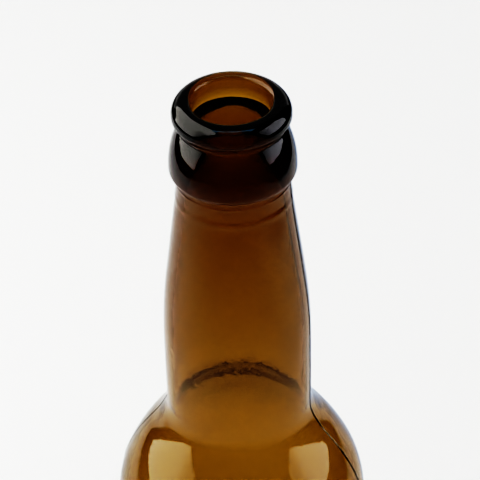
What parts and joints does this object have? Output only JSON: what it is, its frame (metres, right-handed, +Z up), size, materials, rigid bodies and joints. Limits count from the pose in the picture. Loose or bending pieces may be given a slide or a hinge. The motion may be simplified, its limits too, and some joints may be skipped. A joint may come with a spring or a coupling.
{
  "type": "glass beer bottle",
  "caption": "Empty long-necked brown glass beer bottle with a ball-shaped shoulder, a straight round body, a pushed-up base and an open crown-cap mouth.",
  "frame": {"origin": "centre of the flat ring that the bottle stands on", "axes": "+Z up along the bottle's own axis, from the base to the mouth; +X and +Y are alike, as the bottle is round"},
  "size_m": [0.061, 0.061, 0.229],
  "materials": {
    "amber_glass": "clear brown soda-lime glass, blown in a mould and fire-polished at the mouth"
  },
  "bodies": {
    "root": {"bottle": "amber_glass"}
  },
  "joints": []
}
